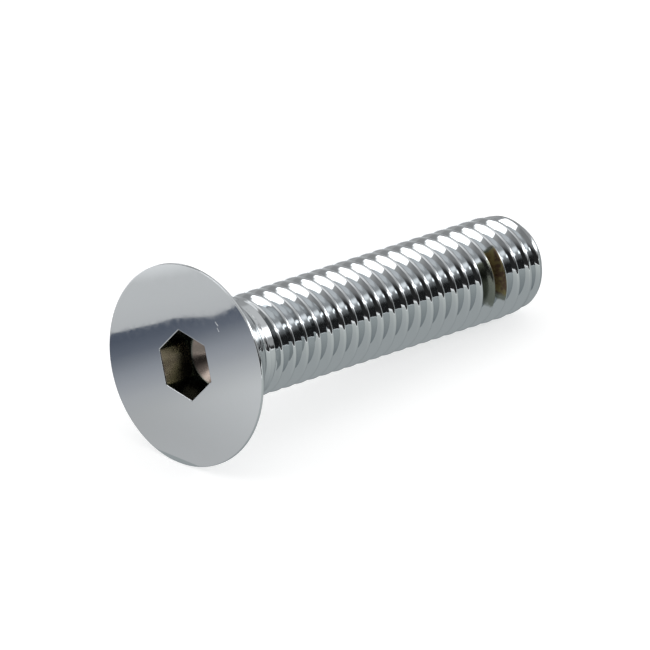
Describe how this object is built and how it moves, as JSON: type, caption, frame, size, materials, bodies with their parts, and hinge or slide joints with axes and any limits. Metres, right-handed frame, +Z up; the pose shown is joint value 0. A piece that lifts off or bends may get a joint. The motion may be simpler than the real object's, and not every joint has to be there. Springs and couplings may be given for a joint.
{
  "type": "countersunk socket screw",
  "caption": "Chrome plated flat countersunk screw with a hexagonal socket in its conical head and a coarse right-handed thread up to a short plain neck.",
  "frame": {"origin": "centre of the bounding box at the bottom, on the surface that the screw lies on", "axes": "+X along the screw from the head to the tip, level; +Z up. The screw's own axis dips 6.4 degrees towards the tip, because it rests on the rim of its head and on a thread crest near its tip."},
  "size_m": [0.0382, 0.0158, 0.0157],
  "materials": {
    "chrome": "polished chrome plate over steel, dull and brown inside the socket"
  },
  "bodies": {
    "root": {"countersunk_screw": "chrome"}
  },
  "joints": []
}
